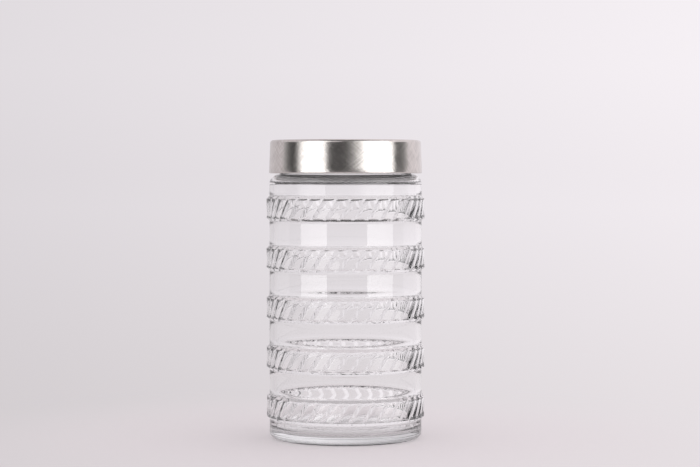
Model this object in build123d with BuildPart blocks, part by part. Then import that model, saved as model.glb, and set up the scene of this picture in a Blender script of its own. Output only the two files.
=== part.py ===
from build123d import *
import os
from math import cos, radians

# Lidded glass canister. Millimetres, +Z up, origin at the centre of the foot's resting plane.

# Glass jar: body
wall_radius = 48.1  # outside of the smooth wall
wall = 3.0
shoulder_height = 166.5  # top of the shoulder above the foot
shoulder_radius = 6.0
heel_radius = 4.4
floor_height = 5.0  # inner floor above the foot
floor_radius = 5.0  # rounding between the floor and the wall

# Glass jar: foot
foot_land = 2.4  # width of the flat ring it rests on
foot_edge_radius = 0.8
recess_depth = 2.0
recess_slope = 16.0
recess_radius = 20.0
notch_count = 76
notch_width = 1.6
notch_length = 1.6
notch_depth = 0.4

# Glass jar: belts of slanted ribs
belt_count = 5
first_belt = 20.5  # height of the lowest belt's middle
last_belt_drop = 21.2  # from the shoulder down to the top belt's middle
belt_height = 15.4
belt_rise = 1.9  # the belt stands this far out of the wall
belt_chamfer = 1.4
belt_blend = 0.8
belt_root = 1.0  # how deep a belt reaches into the wall
rib_count = 36
rib_lean = 32.0  # degrees from upright, tops to the right
groove_radius = 2.2
groove_depth = 1.2
groove_margin = 2.6  # plain rim of the belt above and below the grooves

# Glass jar: neck
neck_radius = 41.2
neck_wall = 2.8
neck_length = 18.1
neck_fillet = 0.8
rim_radius = 0.7
throat_radius = 2.0

# Quick thread: four starts, right-handed
thread_starts = 4
thread_lead = 24.0  # rise in one whole turn
thread_depth = 1.5
thread_root_width = 2.4
thread_crest_width = 1.2
thread_sink = 0.6  # how far a thread's root is buried in its wall
thread_fit = 0.35  # clearance between the two threads, all round
glass_thread_start = 5.0  # above the shoulder
glass_thread_turn = 100.0  # degrees
insert_thread_turn = 84.0

# Sealing ring
gasket_thickness = 1.5
gasket_fit = 0.3  # radial clearance in its groove
gasket_reach = 0.5  # overlap inside the rim's bore

# Plastic insert
plate_thickness = 1.6
skirt_wall = 1.7
keeper_height = 1.1  # small ring that holds the gasket's inner edge
keeper_wall = 1.0
flange_thickness = 1.4
insert_rib_count = 24
insert_rib_width = 1.2
insert_fit = 0.1  # radial gap to the steel shell

# Steel shell
shell_steel = 0.5
lid_top_radius = 47.6
lid_hem_radius = 48.3
lid_edge_radius = 2.0
hem_gap = 0.7  # the hem hangs this far above the shoulder
curl_radius = 0.75
curl_rise = 0.4
skirt_setback = 0.3  # the skirt ends this far above the hem

# Worked out from the sizes above
inner_radius = wall_radius - wall
bore_radius = neck_radius - neck_wall
throat_height = shoulder_height - wall
rim_height = shoulder_height + neck_length
foot_outer = wall_radius - heel_radius
foot_inner = foot_outer - foot_land
belt_radius = wall_radius + belt_rise
belt_pitch = (shoulder_height - last_belt_drop - first_belt) / (belt_count - 1)
belt_levels = [first_belt + belt_pitch * i for i in range(belt_count)]
seat_height = rim_height + gasket_thickness
plate_top = seat_height + plate_thickness
lid_top = plate_top + shell_steel
hem_height = shoulder_height + hem_gap
curl_end = hem_height + curl_radius + curl_rise
skirt_bottom = hem_height + skirt_setback
thread_crest = neck_radius + thread_depth
insert_bore = thread_crest + thread_fit
skirt_radius = insert_bore + skirt_wall
thread_level = shoulder_height + glass_thread_start
shell_side_top = lid_top - lid_edge_radius
shell_taper = (lid_hem_radius - lid_top_radius) / (shell_side_top - hem_height - curl_radius)


def shell_inside(height):
    """Inner radius of the tapered steel side at a height."""
    drop = shell_side_top - min(height, shell_side_top)
    return lid_top_radius - shell_steel + shell_taper * drop


def thread_ridge(root, crest, turn):
    """One length of thread from its root radius to its crest radius, starting on +X at height 0."""
    outwards = 1 if crest > root else -1
    with BuildPart() as ridge:
        with BuildLine():
            path = Helix(pitch=thread_lead, height=thread_lead * turn / 360, radius=root)
        section = Plane(origin=path @ 0, x_dir=(outwards, 0, 0), z_dir=path % 0)
        with BuildSketch(section):
            with BuildLine():
                Polyline(
                    (-thread_sink, -thread_root_width / 2),
                    (0, -thread_root_width / 2),
                    (thread_depth, -thread_crest_width / 2),
                    (thread_depth, thread_crest_width / 2),
                    (0, thread_root_width / 2),
                    (-thread_sink, thread_root_width / 2),
                    close=True,
                )
            make_face()
        sweep(path=path, is_frenet=True)
    return ridge.part


# One belt: a band turned about the axis, then cut by slanted grooves that leave the ribs standing
groove_span = (belt_height - 2 * groove_margin) / cos(radians(rib_lean))
with BuildPart() as groove_cutter:
    with BuildSketch(Plane.XZ):
        with Locations((0, 0)):
            SlotOverall(groove_span, 2 * groove_radius, rotation=90)
        split(bisect_by=Plane.YZ)
    revolve(axis=Axis.Z)

with BuildPart() as belt:
    with BuildSketch(Plane.XZ):
        with BuildLine():
            Polyline(
                (wall_radius - belt_root, -belt_height / 2 - belt_blend),
                (wall_radius, -belt_height / 2 - belt_blend),
                (wall_radius, -belt_height / 2),
                (belt_radius, -belt_height / 2 + belt_chamfer),
                (belt_radius, belt_height / 2 - belt_chamfer),
                (wall_radius, belt_height / 2),
                (wall_radius, belt_height / 2 + belt_blend),
                (wall_radius - belt_root, belt_height / 2 + belt_blend),
                close=True,
            )
        make_face()
    revolve(axis=Axis.Z)
    with PolarLocations(belt_radius - groove_depth + groove_radius, rib_count):
        add(groove_cutter.part, rotation=(-rib_lean, 0, 0), mode=Mode.SUBTRACT)

# Glass jar: foot, wall, shoulder, neck and hollow inside in one turned profile
with BuildPart() as glass_jar:
    with BuildSketch(Plane.XZ):
        with BuildLine():
            outline = FilletPolyline(
                (0, recess_depth),
                (foot_inner - recess_slope, recess_depth),
                (foot_inner, 0),
                (wall_radius, 0),
                (wall_radius, shoulder_height),
                (neck_radius, shoulder_height),
                (neck_radius, rim_height),
                (bore_radius, rim_height),
                (bore_radius, throat_height),
                (inner_radius, throat_height),
                (inner_radius, floor_height),
                (0, floor_height),
                radius=[
                    recess_radius,
                    foot_edge_radius,
                    heel_radius,
                    shoulder_radius,
                    neck_fillet,
                    rim_radius,
                    rim_radius,
                    throat_radius,
                    shoulder_radius - wall,
                    floor_radius,
                ],
            )
            Line(outline @ 1, outline @ 0)
        make_face()
    revolve(axis=Axis.Z)
    with Locations(*[(0, 0, level) for level in belt_levels]):
        add(belt.part)
    with PolarLocations(foot_outer, notch_count):
        Box(notch_length, notch_width, 2 * notch_depth, mode=Mode.SUBTRACT)
    with Locations((0, 0, thread_level)):
        with PolarLocations(0, thread_starts):
            add(thread_ridge(neck_radius, thread_crest, glass_thread_turn))
glass_jar.part.label = "glass_jar"

# Sealing ring, squeezed between the rim and the insert's plate
gasket_outer = insert_bore - gasket_fit
gasket_inner = bore_radius - gasket_reach
with BuildPart() as sealing_gasket:
    with BuildSketch(Plane.XY.offset(rim_height)):
        Circle(gasket_outer)
        Circle(gasket_inner, mode=Mode.SUBTRACT)
    extrude(amount=gasket_thickness)
sealing_gasket.part.label = "sealing_gasket"

# Plastic insert: plate, threaded skirt, gasket keeper, and the flange that the steel hem grips
keeper_radius = gasket_inner - gasket_fit
insert_levels = (curl_end, curl_end + flange_thickness)
flange_radius = shell_inside(insert_levels[1]) - insert_fit
plate_radius = lid_top_radius - lid_edge_radius
thread_narrowing = (thread_root_width - thread_crest_width) / 2
flank_drop = thread_root_width - thread_narrowing * (1 + thread_fit / thread_depth) + thread_fit
with BuildPart() as lid_insert:
    with BuildSketch(Plane.XY.offset(seat_height)):
        Circle(plate_radius)
    extrude(amount=plate_thickness)
    with BuildSketch(Plane.XY.offset(skirt_bottom)):
        Circle(skirt_radius)
        Circle(insert_bore, mode=Mode.SUBTRACT)
    extrude(amount=plate_top - skirt_bottom)
    with BuildSketch(Plane.XY.offset(insert_levels[0])):
        Circle(flange_radius)
        Circle(insert_bore, mode=Mode.SUBTRACT)
    extrude(amount=flange_thickness)
    with BuildSketch(Plane.XY.offset(seat_height - keeper_height)):
        Circle(keeper_radius)
        Circle(keeper_radius - keeper_wall, mode=Mode.SUBTRACT)
    extrude(amount=keeper_height)
    with BuildSketch(Plane.XY.offset(insert_levels[1])):
        rib_length = plate_radius - insert_bore - skirt_wall / 2
        with PolarLocations(plate_radius - rib_length / 2, insert_rib_count):
            Rectangle(rib_length, insert_rib_width)
    extrude(amount=seat_height - insert_levels[1])
    with Locations((0, 0, thread_level - flank_drop)):
        with PolarLocations(0, thread_starts):
            add(thread_ridge(insert_bore, insert_bore - thread_depth, insert_thread_turn))
lid_insert.part.label = "lid_insert"

# Steel shell: flat top, rounded edge, tapered side and a hem curled inwards under the flange
curl_axis = lid_hem_radius - curl_radius
curl_inside = curl_radius - shell_steel
with BuildPart() as lid_shell:
    with BuildSketch(Plane.XZ):
        with BuildLine():
            Line((0, lid_top), (lid_top_radius - lid_edge_radius, lid_top))
            RadiusArc(
                (lid_top_radius - lid_edge_radius, lid_top),
                (lid_top_radius, shell_side_top),
                lid_edge_radius,
            )
            Line((lid_top_radius, shell_side_top), (lid_hem_radius, hem_height + curl_radius))
            RadiusArc(
                (lid_hem_radius, hem_height + curl_radius),
                (curl_axis - curl_radius, hem_height + curl_radius),
                curl_radius,
            )
            Polyline(
                (curl_axis - curl_radius, hem_height + curl_radius),
                (curl_axis - curl_radius, curl_end),
                (curl_axis - curl_inside, curl_end),
                (curl_axis - curl_inside, hem_height + curl_radius),
            )
            RadiusArc(
                (curl_axis - curl_inside, hem_height + curl_radius),
                (curl_axis + curl_inside, hem_height + curl_radius),
                -curl_inside,
            )
            Line(
                (curl_axis + curl_inside, hem_height + curl_radius),
                (lid_top_radius - shell_steel, shell_side_top),
            )
            RadiusArc(
                (lid_top_radius - shell_steel, shell_side_top),
                (lid_top_radius - lid_edge_radius, plate_top),
                -(lid_edge_radius - shell_steel),
            )
            Polyline((lid_top_radius - lid_edge_radius, plate_top), (0, plate_top), (0, lid_top))
        make_face()
    revolve(axis=Axis.Z)
lid_shell.part.label = "lid_shell"

os.makedirs("parts", exist_ok=True)
for piece in (glass_jar, sealing_gasket, lid_insert, lid_shell):
    export_step(piece.part, f"parts/{piece.part.label}.step")
    size = piece.part.bounding_box().size
    print(f"{piece.part.label}: {size.X:.2f} x {size.Y:.2f} x {size.Z:.2f}")
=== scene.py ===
import math
import bpy
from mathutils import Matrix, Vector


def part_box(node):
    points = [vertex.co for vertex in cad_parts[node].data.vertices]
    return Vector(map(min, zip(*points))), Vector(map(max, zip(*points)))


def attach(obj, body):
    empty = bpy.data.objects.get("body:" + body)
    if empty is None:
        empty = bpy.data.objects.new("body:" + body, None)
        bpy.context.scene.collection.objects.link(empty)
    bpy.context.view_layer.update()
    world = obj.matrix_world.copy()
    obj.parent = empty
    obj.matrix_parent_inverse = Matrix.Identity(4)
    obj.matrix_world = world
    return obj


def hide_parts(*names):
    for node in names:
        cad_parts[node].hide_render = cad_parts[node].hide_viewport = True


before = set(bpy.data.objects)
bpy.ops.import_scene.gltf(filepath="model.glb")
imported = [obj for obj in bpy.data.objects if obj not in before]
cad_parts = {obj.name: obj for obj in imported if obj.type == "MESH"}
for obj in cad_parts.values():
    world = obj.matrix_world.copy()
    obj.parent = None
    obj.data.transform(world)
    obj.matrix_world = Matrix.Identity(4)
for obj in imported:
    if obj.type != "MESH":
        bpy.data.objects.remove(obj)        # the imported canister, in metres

# Lidded glass canister: a glass jar with five belts of slanted ribs, a brushed steel screw lid,
# its plastic insert and its sealing ring, standing on a pale floor in soft light.

mm = 0.001
scene = bpy.context.scene
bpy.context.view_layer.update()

jarFit = dict(  # millimetres, as the frame has them
    wallRadius=48.1, wall=3.0, shoulderTop=166.5, shoulderRadius=6.0, heelRadius=4.4,
    floorTop=5.0, floorRadius=5.0, footLand=2.4, recess=2.0, recessSlope=16.0,
    neckRadius=41.2, neckWall=2.8, neckLength=18.1, neckFillet=0.8, rimRadius=0.7, throatRadius=2.0,
    innerCorner=3.5,
)
beltFit = dict(
    count=5, first=20.5, lastDrop=21.2, height=15.4, rise=1.9, chamfer=1.8, blend=0.5,
    ribs=36, lean=32.0, ribDrop=0.12, flute=0.95, valley=0.35, sharpness=1.25,
    fieldEnd=5.2, scallop=0.5, fieldFade=1.2,
    sink=0.8, sinkReach=3.1, sinkRun=6.6,
)
threadFit = dict(starts=4, lead=24.0, depth=1.5, width=2.4, above=5.0, turn=100.0, taper=8.0)
notchFit = dict(count=72, depth=0.5, reach=1.2, fade=0.8)
waveFit = dict(first=0.03, firstTwist=0.05, second=0.02, secondTwist=0.07, inset=0.1)
columnsPerRib = 10
near = 0.02              # two radii this close, in millimetres, are the same one


def clearSelection():
    if bpy.context.object and bpy.context.object.mode != "OBJECT":
        bpy.ops.object.mode_set(mode="OBJECT")
    bpy.ops.object.select_all(action="DESELECT")


def arc(centre, radius, start, end, steps):
    points = []
    for i in range(steps + 1):
        angle = math.radians(start + (end - start) * i / steps)
        points.append((centre[0] + radius * math.cos(angle), centre[1] + radius * math.sin(angle)))
    return points


def tidyOutline(points, least=0.02):  # drops points that lie on the one before
    kept = [points[0]]
    for point in points[1:]:
        if math.dist(point, kept[-1]) > least:
            kept.append(point)
    return kept


def turned(name, outline, steps):  # a profile drawn point by point, then spun about the axis
    clearSelection()
    bpy.ops.mesh.primitive_plane_add(size=0.01)
    piece = bpy.context.object
    piece.name = name
    bpy.ops.object.mode_set(mode="EDIT")
    bpy.ops.mesh.select_all(action="SELECT")
    bpy.ops.mesh.merge(type="CENTER")
    bpy.ops.transform.translate(value=(outline[0][0] * mm, 0, outline[0][1] * mm))
    for before, after in zip(outline, outline[1:]):
        step = ((after[0] - before[0]) * mm, 0, (after[1] - before[1]) * mm)
        bpy.ops.mesh.extrude_region_move(TRANSFORM_OT_translate={"value": step})
    bpy.ops.mesh.select_all(action="SELECT")
    bpy.ops.mesh.spin(steps=steps, angle=math.tau, center=(0, 0, 0), axis=(0, 0, 1))
    bpy.ops.mesh.select_all(action="SELECT")
    bpy.ops.mesh.remove_doubles(threshold=0.000004)
    bpy.ops.mesh.select_all(action="SELECT")
    bpy.ops.mesh.normals_make_consistent(inside=False)
    bpy.ops.object.mode_set(mode="OBJECT")
    return piece


def smooth(piece, angle=35):
    clearSelection()
    piece.select_set(True)
    bpy.context.view_layer.objects.active = piece
    bpy.ops.object.shade_smooth_by_angle(angle=math.radians(angle))
    piece.select_set(False)


def softStep(value):
    value = min(max(value, 0.0), 1.0)
    return value * value * (3 - 2 * value)


beltPitch = (jarFit["shoulderTop"] - beltFit["lastDrop"] - beltFit["first"]) / (beltFit["count"] - 1)
beltLevels = [beltFit["first"] + beltPitch * i for i in range(beltFit["count"])]
beltSlant = math.tan(math.radians(beltFit["lean"])) / (jarFit["wallRadius"] + beltFit["rise"])


def beltTwist(height):  # how far the columns have turned by this height, so that they run along the ribs
    turn = 0.0
    for level in beltLevels:
        inBelt = min(max(height - level + beltFit["height"] / 2, 0), beltFit["height"])
        turn += inBelt * beltSlant
    return turn


def ribColumn(index):  # columns crowd towards the crests and the valleys
    valley = beltFit["valley"]
    steep = [share * valley for share in (0, 0.13, 0.5, 0.87)]
    broad = [valley + share * (1 - valley) for share in (0, 0.06, 0.25, 0.5, 0.75, 0.94)]
    return (steep + broad)[index % columnsPerRib]


def beltRelief(across, along):  # height of the glass above the wall; crests at 0 and 1, one flank steeper
    away = abs(along)
    chamfer = beltFit["rise"] * softStep((beltFit["height"] / 2 + beltFit["blend"] - away)
                                         / (beltFit["chamfer"] + beltFit["blend"]))
    valley = beltFit["valley"]
    climb = 1 - across / valley if across < valley else (across - valley) / (1 - valley)
    crest = climb ** beltFit["sharpness"]
    field = beltFit["rise"] - beltFit["ribDrop"] - beltFit["flute"] * (1 - crest)
    fieldEnd = beltFit["fieldEnd"] + beltFit["scallop"] * crest
    rimShare = softStep((away - fieldEnd) / beltFit["fieldFade"])
    field += (beltFit["rise"] - field) * rimShare
    return min(chamfer, field)


def beltSink(height):  # the wall is hollow behind each belt, as blown glass follows its mould
    away = min(abs(height - level) for level in beltLevels)
    inside = beltFit["height"] / 2 + beltFit["sinkReach"] - away
    return beltFit["sink"] * softStep(inside / beltFit["sinkRun"])


def threadRelief(azimuth, height):  # height of the quick thread above the neck
    rise = 0.0
    turnSpan = math.radians(threadFit["turn"])
    for start in range(threadFit["starts"]):
        along = (azimuth - math.tau * start / threadFit["starts"]) % math.tau
        if along > turnSpan:
            continue
        middle = jarFit["shoulderTop"] + threadFit["above"] + threadFit["lead"] * along / math.tau
        flank = 1 - abs(height - middle) / (threadFit["width"] / 2)
        ends = min(along, turnSpan - along) / math.radians(threadFit["taper"])
        rise = max(rise, threadFit["depth"] * softStep(flank * 1.6) * softStep(ends))
    return rise


def innerWave(azimuth, height):  # blown glass is never quite even inside
    first = waveFit["first"] * math.sin(2 * azimuth + height * waveFit["firstTwist"])
    return first + waveFit["second"] * math.sin(3 * azimuth - height * waveFit["secondTwist"])


def jarOutline():
    j = jarFit
    footOuter = j["wallRadius"] - j["heelRadius"]
    footInner = footOuter - j["footLand"]
    rim = j["shoulderTop"] + j["neckLength"]
    bore = j["neckRadius"] - j["neckWall"]
    inner = j["wallRadius"] - j["wall"]
    throat = j["shoulderTop"] - j["wall"]
    points = [(0, j["recess"]), (12, j["recess"]), (footInner - j["recessSlope"] - 3, j["recess"])]
    points += [(footInner - j["recessSlope"] + 3, j["recess"] - 0.3), (footInner - 1.2, 0.2), (footInner, 0)]
    points += [(footOuter - 1.6, 0), (footOuter - 0.8, 0), (footOuter, 0)]
    points += arc((footOuter, j["heelRadius"]), j["heelRadius"], -90, 0, 12)[1:]
    points += [(j["wallRadius"], j["heelRadius"] + 0.2), (j["wallRadius"], j["heelRadius"] + 0.9)]
    half = beltFit["height"] / 2
    edge = half + beltFit["blend"]
    rows = [edge + 0.9, edge, half + 0.1, half - 0.3, half - 0.8, half - 1.5, 5.8, 5.4, 5.0, 4.6, 3.8]
    for level in beltLevels:
        points += [(j["wallRadius"], level - row) for row in rows]
        points += [(j["wallRadius"], level)]
        points += [(j["wallRadius"], level + row) for row in reversed(rows)]
    points += [(j["wallRadius"], j["shoulderTop"] - j["shoulderRadius"] - 0.8)]
    points += [(j["wallRadius"], j["shoulderTop"] - j["shoulderRadius"] - 0.2)]
    shoulder = (j["wallRadius"] - j["shoulderRadius"], j["shoulderTop"] - j["shoulderRadius"])
    points += arc(shoulder, j["shoulderRadius"], 0, 90, 9)
    fillet = (j["neckRadius"] + j["neckFillet"], j["shoulderTop"] + j["neckFillet"])
    points += arc(fillet, j["neckFillet"], -90, -180, 3)
    threadLow = j["shoulderTop"] + threadFit["above"] - threadFit["width"] / 2
    threadHigh = threadLow + threadFit["width"] + threadFit["lead"] * threadFit["turn"] / 360
    threadRows = 13
    points += [(j["neckRadius"], threadLow + (threadHigh - threadLow) * i / threadRows)
               for i in range(threadRows + 1)]
    points += arc((j["neckRadius"] - j["rimRadius"], rim - j["rimRadius"]), j["rimRadius"], 0, 90, 4)
    points += arc((bore + j["rimRadius"], rim - j["rimRadius"]), j["rimRadius"], 90, 180, 4)
    points += [(bore, rim - j["rimRadius"] - 0.3), (bore, throat + j["throatRadius"] + 0.3)]
    points += arc((bore + j["throatRadius"], throat + j["throatRadius"]), j["throatRadius"], 180, 270, 4)
    cornerRadius = j["innerCorner"]
    points += arc((inner - cornerRadius, throat - cornerRadius), cornerRadius, 90, 0, 5)
    wallHigh, wallLow = throat - cornerRadius, j["floorTop"] + j["floorRadius"]
    points += [(inner, wallHigh - 0.2), (inner, wallHigh - 0.8)]
    sinkRows = [11.2, 9.9, 8.7, 7.5, 6.2, 4.6]
    for level in reversed(beltLevels):
        points += [(inner, level + row) for row in sinkRows]
        points += [(inner, level)]
        points += [(inner, level - row) for row in reversed(sinkRows) if level - row > wallLow + 0.1]
    points += [(inner, wallLow + 0.05)]
    points += arc((inner - j["floorRadius"], wallLow), j["floorRadius"], 0, -90, 10)
    flat = inner - j["floorRadius"]
    points += [(flat - 0.4, j["floorTop"]), (flat - 1.5, j["floorTop"])]
    points += [(12, j["floorTop"]), (0, j["floorTop"])]
    return tidyOutline(points)


def makeJar():
    columns = beltFit["ribs"] * columnsPerRib
    jar = turned("canister_glass", jarOutline(), columns)
    j = jarFit
    columnTurn = math.tau / columns
    ribTurn = math.tau / beltFit["ribs"]
    inner = j["wallRadius"] - j["wall"]
    footOuter = j["wallRadius"] - j["heelRadius"]
    for vertex in jar.data.vertices:
        radius = math.hypot(vertex.co.x, vertex.co.y) / mm
        height = vertex.co.z / mm
        if radius < 0.01:
            continue
        azimuth = math.atan2(vertex.co.y, vertex.co.x) % math.tau
        if radius > j["wallRadius"] - near:
            column = round(azimuth / columnTurn)
            share = ribColumn(column)
            azimuth = (column // columnsPerRib + share) * ribTurn + beltTwist(height)
            level = min(beltLevels, key=lambda middle: abs(height - middle))
            radius = j["wallRadius"] + beltRelief(share, height - level)
        elif abs(radius - j["neckRadius"]) < near and height > j["shoulderTop"] + j["neckFillet"]:
            radius += threadRelief(azimuth, height)
        elif radius > inner - near and height < j["shoulderTop"] - j["wall"]:
            if height > j["floorTop"] + 1 and radius < inner + near:
                radius += beltSink(height) - innerWave(azimuth, height) - waveFit["inset"]
        elif abs(radius - footOuter) < 1.0 and height < 0.01:
            notch = math.cos(notchFit["count"] * azimuth)
            inNotch = softStep((radius - footOuter + notchFit["reach"]) / notchFit["fade"])
            height += notchFit["depth"] * softStep(notch) * inNotch
        vertex.co = (radius * mm * math.cos(azimuth), radius * mm * math.sin(azimuth), height * mm)
    smooth(jar, 60)
    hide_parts("glass_jar")
    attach(jar, "jar")
    print("jar:", len(jar.data.polygons), "faces")
    return jar


class Wire:  # an output of a node; sums on it become nodes
    def __init__(self, shader, socket):
        self.shader = shader
        self.socket = socket

    def sum(self, operation, first, second=0.0):
        return self.shader.node("ShaderNodeMath", {"operation": operation}, {0: first, 1: second})

    def __add__(self, other):
        return self.sum("ADD", self, other)

    def __radd__(self, other):
        return self.sum("ADD", other, self)

    def __sub__(self, other):
        return self.sum("SUBTRACT", self, other)

    def __rsub__(self, other):
        return self.sum("SUBTRACT", other, self)

    def __mul__(self, other):
        return self.sum("MULTIPLY", self, other)

    def __rmul__(self, other):
        return self.sum("MULTIPLY", other, self)

    def __truediv__(self, other):
        return self.sum("DIVIDE", self, other)


class Shader:  # one material or world, with the nodes that it is built from
    def __init__(self, owner):
        owner.use_nodes = True
        self.tree = owner.node_tree
        self.tree.nodes.clear()

    def node(self, kind, settings=None, inputs=None, output=0):
        made = self.tree.nodes.new(kind)
        for name, value in (settings or {}).items():
            if name == "stops":
                for stop in list(made.color_ramp.elements)[1:]:
                    made.color_ramp.elements.remove(stop)
                for index, (place, colour) in enumerate(value):
                    stops = made.color_ramp.elements
                    stop = stops[0] if index == 0 else stops.new(place)
                    stop.position = place
                    stop.color = (*colour, 1)
            else:
                setattr(made, name, value)
        for name, value in (inputs or {}).items():
            if isinstance(value, Wire):
                self.tree.links.new(value.socket, made.inputs[name])
            else:
                made.inputs[name].default_value = value
        return Wire(self, made.outputs[output])

    def mixColour(self, factor, first, second):
        made = self.tree.nodes.new("ShaderNodeMix")
        made.data_type = "RGBA"
        for socket, value in zip((made.inputs[0], made.inputs[6], made.inputs[7]), (factor, first, second)):
            if isinstance(value, Wire):
                self.tree.links.new(value.socket, socket)
            else:
                socket.default_value = value
        return Wire(self, made.outputs[2])

    def finish(self, surface, volume=None):
        inputs = {"Surface": surface}
        if volume:
            inputs["Volume"] = volume
        end = self.tree.nodes.new("ShaderNodeOutputMaterial")
        for name, wire in inputs.items():
            self.tree.links.new(wire.socket, end.inputs[name])


def newMaterial(name):
    material = bpy.data.materials.new(name)
    return material, Shader(material)


def dress(piece, material):
    piece.data.materials.clear()
    piece.data.materials.append(material)


glassLook = dict(index=1.5, roughness=0.0, absorb=(0.90, 0.915, 0.915), density=16.0,
                 wave=38.0, waveDepth=0.00003)


def clearGlass():
    material, s = newMaterial("clear_glass")
    place = s.node("ShaderNodeTexCoord", output=3)
    wave = s.node("ShaderNodeTexNoise", None, {"Vector": place, "Scale": glassLook["wave"], "Detail": 1.0})
    waviness = s.node("ShaderNodeBump", None, {
        "Height": wave, "Strength": 1.0, "Distance": glassLook["waveDepth"],
    })
    glass = s.node("ShaderNodeBsdfPrincipled", None, {
        "Base Color": (1, 1, 1, 1), "Roughness": glassLook["roughness"], "IOR": glassLook["index"],
        "Transmission Weight": 1.0, "Normal": waviness,
    })
    tint = s.node("ShaderNodeVolumeAbsorption", None, {
        "Color": (*glassLook["absorb"], 1), "Density": glassLook["density"],
    })
    s.finish(glass, tint)
    return material


steelLook = dict(
    colour=(0.66, 0.622, 0.598), roughness=0.17, lean=43.0, fine=4200.0, fineLength=200.0,
    coarse=1400.0, coarseLength=90.0, bump=1.0, depth=0.00008, low=0.84, high=1.14,
)


def hatch(s, across, along, lean, density, length):  # a noise drawn out into strokes that lean one way
    slant = math.radians(lean)
    lengthwise = along * math.cos(slant) + across * math.sin(slant)
    aside = across * math.cos(slant) - along * math.sin(slant)
    place = s.node("ShaderNodeCombineXYZ", None, {0: lengthwise * length, 1: aside * density, 2: lean})
    return s.node("ShaderNodeTexNoise", None, {"Vector": place, "Scale": 1.0, "Detail": 1.5})


def brushedSteel(top):
    look = steelLook
    material, s = newMaterial("brushed_steel")
    place = s.node("ShaderNodeTexCoord", output=3)
    x, y, z = (s.node("ShaderNodeSeparateXYZ", None, {0: place}, output=i) for i in range(3))
    onTop = s.node("ShaderNodeMath", {"operation": "GREATER_THAN"}, {0: z, 1: top - 0.0004})
    around = s.node("ShaderNodeMath", {"operation": "ARCTAN2"}, {0: y, 1: x}) * 0.048
    across = around + (x - around) * onTop
    along = z + (y - z) * onTop
    fine = (hatch(s, across, along, look["lean"], look["fine"], look["fineLength"])
            + hatch(s, across, along, -look["lean"], look["fine"], look["fineLength"])) * 0.5
    coarse = (hatch(s, across, along, look["lean"] + 6, look["coarse"], look["coarseLength"])
              + hatch(s, across, along, -look["lean"] - 5, look["coarse"], look["coarseLength"])) * 0.5
    strokes = fine * 0.45 + coarse * 0.55
    bump = s.node("ShaderNodeBump", None, {
        "Height": strokes, "Strength": look["bump"], "Distance": look["depth"],
    })
    cloud = s.node("ShaderNodeTexNoise", None, {"Vector": place, "Scale": 45.0, "Detail": 2.0})
    shade = s.node("ShaderNodeMapRange", None, {
        "Value": coarse * 0.85 + cloud * 0.15, "From Min": 0.38, "From Max": 0.62,
    })
    low, high = ([part * share for part in look["colour"]] for share in (look["low"], look["high"]))
    colour = s.mixColour(shade, (*low, 1), (*high, 1))
    steel = s.node("ShaderNodeBsdfPrincipled", None, {
        "Base Color": colour, "Metallic": 1.0, "Roughness": look["roughness"] + (fine - 0.5) * 0.25,
        "Normal": bump,
    })
    s.finish(steel)
    return material


insertLook = dict(colour=(0.72, 0.72, 0.71), roughness=0.38, uneven=0.12, grain=900.0, grainDepth=0.00002,
                  cloud=55.0, tint=0.96)
siliconeLook = dict(colour=(0.75, 0.75, 0.73), roughness=0.55, uneven=0.16, grain=2400.0, grainDepth=0.00003,
                    cloud=90.0, tint=0.94)


def moulded(name, look):  # a fine moulded grain, and a shade that is not quite even
    material, s = newMaterial(name)
    place = s.node("ShaderNodeTexCoord", output=3)
    grain = s.node("ShaderNodeTexNoise", None, {"Vector": place, "Scale": look["grain"], "Detail": 2.0})
    cloud = s.node("ShaderNodeTexNoise", None, {"Vector": place, "Scale": look["cloud"], "Detail": 3.0})
    shade = s.node("ShaderNodeMapRange", None, {"Value": cloud, "From Min": 0.35, "From Max": 0.65})
    dull = [part * look["tint"] for part in look["colour"]]
    colour = s.mixColour(shade, (*dull, 1), (*look["colour"], 1))
    bump = s.node("ShaderNodeBump", None, {"Height": grain, "Strength": 1.0, "Distance": look["grainDepth"]})
    plastic = s.node("ShaderNodeBsdfPrincipled", None, {
        "Base Color": colour, "Roughness": look["roughness"] + (cloud - 0.5) * look["uneven"], "Normal": bump,
    })
    s.finish(plastic)
    return material


shellFit = dict(steel=0.5, topRadius=47.6, hemRadius=48.3, edge=2.0, curl=0.75, curlRise=0.4, steps=180)


def makeShell():
    low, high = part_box("lid_shell")
    top, hem = high[2] / mm, low[2] / mm
    f = shellFit
    sideTop = top - f["edge"]
    axis = f["hemRadius"] - f["curl"]
    inside = f["curl"] - f["steel"]
    curlEnd = hem + f["curl"] + f["curlRise"]
    outline = [(0, top), (15, top), (30, top), (42, top)]
    outline += arc((f["topRadius"] - f["edge"], sideTop), f["edge"], 90, 0, 10)
    outline += [(f["topRadius"] + (f["hemRadius"] - f["topRadius"]) * i / 6,
                 sideTop + (hem + f["curl"] - sideTop) * i / 6) for i in range(1, 6)]
    outline += arc((axis, hem + f["curl"]), f["curl"], 0, -180, 12)
    outline += [(axis - f["curl"], curlEnd), (axis - inside, curlEnd)]
    outline += arc((axis, hem + f["curl"]), inside, -180, 0, 6)
    outline += [(f["topRadius"] - f["steel"], sideTop)]
    outline += arc((f["topRadius"] - f["edge"], sideTop), f["edge"] - f["steel"], 0, 90, 6)
    outline += [(25, top - f["steel"]), (0, top - f["steel"])]
    shell = turned("lid_steel_shell", tidyOutline(outline), f["steps"])
    smooth(shell, 40)
    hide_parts("lid_shell")
    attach(shell, "lid")
    print("shell:", len(shell.data.polygons), "faces")
    return shell


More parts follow.
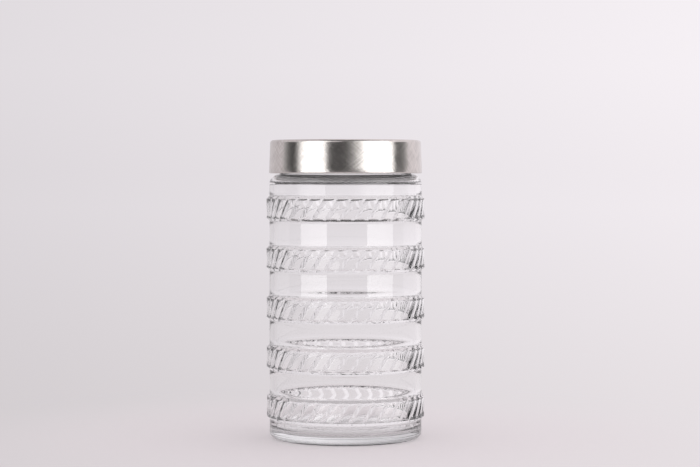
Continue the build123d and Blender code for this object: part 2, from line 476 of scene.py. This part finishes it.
room = dict(
    floorRadius=11.0, paper=(0.955, 0.90, 0.91), paperGrain=160.0, paperTint=0.985,
    # The floor's near colour is painted shade: the floor's glow darkens towards the jar, while the far colour
    # is the backdrop's own
    nearFloorShade=(0.724, 0.684, 0.705), farWall=(0.80, 0.76, 0.79),
    highWall=(0.835, 0.795, 0.826), sideShade=0.6, sideMost=0.13,
    shotDistance=1.32, eyeHeight=0.168, aimHeight=0.1292, sideways=0.0028, lens=107.4,
)


def sideways(s, across):  # the light falls off a little towards the left
    return 1 + s.node("ShaderNodeClamp", None, {
        "Value": across * room["sideShade"], "Min": -room["sideMost"], "Max": room["sideMost"],
    })


def makeRoom():
    world = bpy.data.worlds.new("studio")
    scene.world = world
    s = Shader(world)
    facing = s.node("ShaderNodeTexCoord")
    across = s.node("ShaderNodeSeparateXYZ", None, {0: facing}, output=0)
    upwards = s.node("ShaderNodeSeparateXYZ", None, {0: facing}, output=2)
    climb = s.node("ShaderNodeMapRange", {"clamp": True}, {
        "Value": upwards, "From Min": 0.0, "From Max": 0.05,
    })
    colour = s.mixColour(climb, (*room["farWall"], 1), (*room["highWall"], 1))
    sky = s.node("ShaderNodeBackground", None, {"Color": colour, "Strength": sideways(s, across)})
    end = s.tree.nodes.new("ShaderNodeOutputWorld")
    s.tree.links.new(sky.socket, end.inputs["Surface"])

    clearSelection()
    bpy.ops.mesh.primitive_circle_add(vertices=96, radius=room["floorRadius"], fill_type="NGON")
    floor = bpy.context.object
    floor.name = "floor"
    material, s = newMaterial("pale_floor")
    place = s.node("ShaderNodeTexCoord", output=3)
    away = s.node("ShaderNodeVectorMath", {"operation": "LENGTH"}, {0: place}, output=1)
    across = s.node("ShaderNodeSeparateXYZ", None, {0: place}, output=0) / (away + room["shotDistance"])
    # Share of the floor that glows, which is painted light: all of it far off, and still four tenths even
    # right under the jar, where it paints light into the jar's shadow
    paintedLightShare = s.node("ShaderNodeMapRange", {"clamp": True, "interpolation_type": "SMOOTHSTEP"},
                 {"Value": away, "From Min": 0.05, "From Max": 0.3, "To Min": 0.4})
    further = s.node("ShaderNodeMapRange", {"clamp": True}, {"Value": away / (away + 1.5),
                                                             "From Min": 0.16, "From Max": 0.85})
    colour = s.mixColour(further, (*room["nearFloorShade"], 1), (*room["farWall"], 1))
    grain = s.node("ShaderNodeTexNoise", None, {"Vector": place, "Scale": room["paperGrain"], "Detail": 3.0})
    dull = [part * room["paperTint"] for part in room["paper"]]
    paper = s.mixColour(grain, (*dull, 1), (*room["paper"], 1))
    matt = s.node("ShaderNodeBsdfDiffuse", None, {"Color": paper})
    # The floor's glow is painted light and shade: it matches the backdrop far off, is darker near the jar,
    # and falls off towards the left
    paintedFloorLight = s.node("ShaderNodeEmission", None, {"Color": colour, "Strength": sideways(s, across)})
    both = s.node("ShaderNodeMixShader", None, {0: paintedLightShare, 1: matt, 2: paintedFloorLight})
    s.finish(both)
    dress(floor, material)


def hideFromAllButGloss(panel):
    panel.visible_camera = False
    panel.visible_diffuse = False
    panel.visible_transmission = False
    panel.visible_shadow = False
    panel.visible_volume_scatter = False


cardFit = dict(reach=1.2, brightest=4.0, lowest=0.002, split=0.12, flagTop=0.5, softboxTop=1.6)


def card(name, start, end, low, high, stops):  # seen in reflections alone; stops run from start to end
    reach = cardFit["reach"]
    brightest = cardFit["brightest"]
    azimuth = (start + end) / 2
    width = 2 * reach * math.tan(math.radians((end - start) / 2))
    clearSelection()
    bpy.ops.mesh.primitive_plane_add(size=1)
    panel = bpy.context.object
    panel.name = name
    angle = math.radians(azimuth - 90)
    panel.scale = (width, high - low, 1)
    panel.rotation_euler = (math.pi / 2, 0, angle + math.pi / 2)
    panel.location = (reach * math.cos(angle), reach * math.sin(angle), (low + high) / 2)
    bpy.ops.object.transform_apply(location=True, rotation=True, scale=True)
    material, s = newMaterial(name)
    share = s.node("ShaderNodeAttribute", {"attribute_name": "UVMap"}, output=1)
    share = s.node("ShaderNodeSeparateXYZ", None, {0: share}, output=0)
    ramp = [(place, (level / brightest,) * 3) for place, level in stops]
    shade = s.node("ShaderNodeValToRGB", {"stops": ramp}, {0: share})
    s.finish(s.node("ShaderNodeEmission", None, {"Color": shade, "Strength": brightest}))
    dress(panel, material)
    hideFromAllButGloss(panel)


def makeCeilingFlag():  # gives the lid's rounded edge its dark line
    clearSelection()
    bpy.ops.mesh.primitive_plane_add(size=1)
    panel = bpy.context.object
    panel.name = "ceiling_flag"
    panel.scale = (2.4, 1.0, 1)
    panel.rotation_euler = (math.pi, 0, 0)
    panel.location = (0, -0.7, 1.6)
    bpy.ops.object.transform_apply(location=True, rotation=True, scale=True)
    material, s = newMaterial("ceiling_flag")
    s.finish(s.node("ShaderNodeEmission", None, {"Color": (1, 1, 1, 1), "Strength": 0.06}))
    dress(panel, material)
    hideFromAllButGloss(panel)


def makeLights():
    for name, start, end, stops in (
        ("softbox_left", -69, -27.5, ((0.0, 2.9), (0.4, 3.6), (1.0, 4.0))),
        ("softbox_right", 32, 74.5, ((0.0, 4.0), (0.6, 3.5), (1.0, 2.6))),
        ("flag_middle", -27.5, 32, ((0.0, 0.05), (1.0, 0.05))),
        ("flag_left", -92, -69, ((0.0, 0.1), (1.0, 0.05))),
        ("flag_right", 74.5, 96, ((0.0, 0.1), (1.0, 0.3))),
    ):
        card(name + "_low", start, end, cardFit["lowest"], cardFit["split"], stops)
    for name, start, end, stops in (
        ("softbox_left", -76, -29.5, ((0.0, 0.4), (0.08, 0.9), (0.2, 1.7), (0.45, 2.2), (1.0, 2.2))),
        ("softbox_right", -6, 75.5,
         ((0.0, 0.07), (0.14, 0.12), (0.24, 0.4), (0.34, 0.9), (0.46, 2.2), (1.0, 2.2))),
        ("flag_middle", -29.5, -6, ((0.0, 0.07), (1.0, 0.07))),
        ("flag_left", -106, -76, ((0.0, 0.55), (0.35, 0.2), (0.6, 0.05), (1.0, 0.05))),
        ("flag_right", 75.5, 106, ((0.0, 0.1), (0.5, 0.15), (1.0, 0.5))),
    ):
        top = cardFit["softboxTop"] if name.startswith("softbox") else cardFit["flagTop"]
        card(name + "_high", start, end, cardFit["split"], top, stops)
    makeCeilingFlag()


def makeCamera():
    clearSelection()
    bpy.ops.object.camera_add(location=(room["sideways"], -room["shotDistance"], room["eyeHeight"]))
    camera = bpy.context.object
    drop = math.atan2(room["eyeHeight"] - room["aimHeight"], room["shotDistance"])
    camera.rotation_euler = (math.pi / 2 - drop, 0, 0)
    camera.data.lens = room["lens"]
    camera.data.sensor_width = 36
    camera.data.clip_start = 0.01
    camera.data.clip_end = 100
    scene.camera = camera


makeRoom()
makeLights()
makeCamera()
print("room done")

scene.view_settings.view_transform = "Standard"
scene.cycles.max_bounces = 24
scene.cycles.transmission_bounces = 24
scene.cycles.glossy_bounces = 8

jar = makeJar()
dress(jar, clearGlass())
shell = makeShell()
dress(shell, brushedSteel(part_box("lid_shell")[1][2]))
dress(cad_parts["lid_insert"], moulded("insert_plastic", insertLook))
dress(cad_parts["sealing_gasket"], moulded("gasket_silicone", siliconeLook))
print("insert and sealing ring dressed")
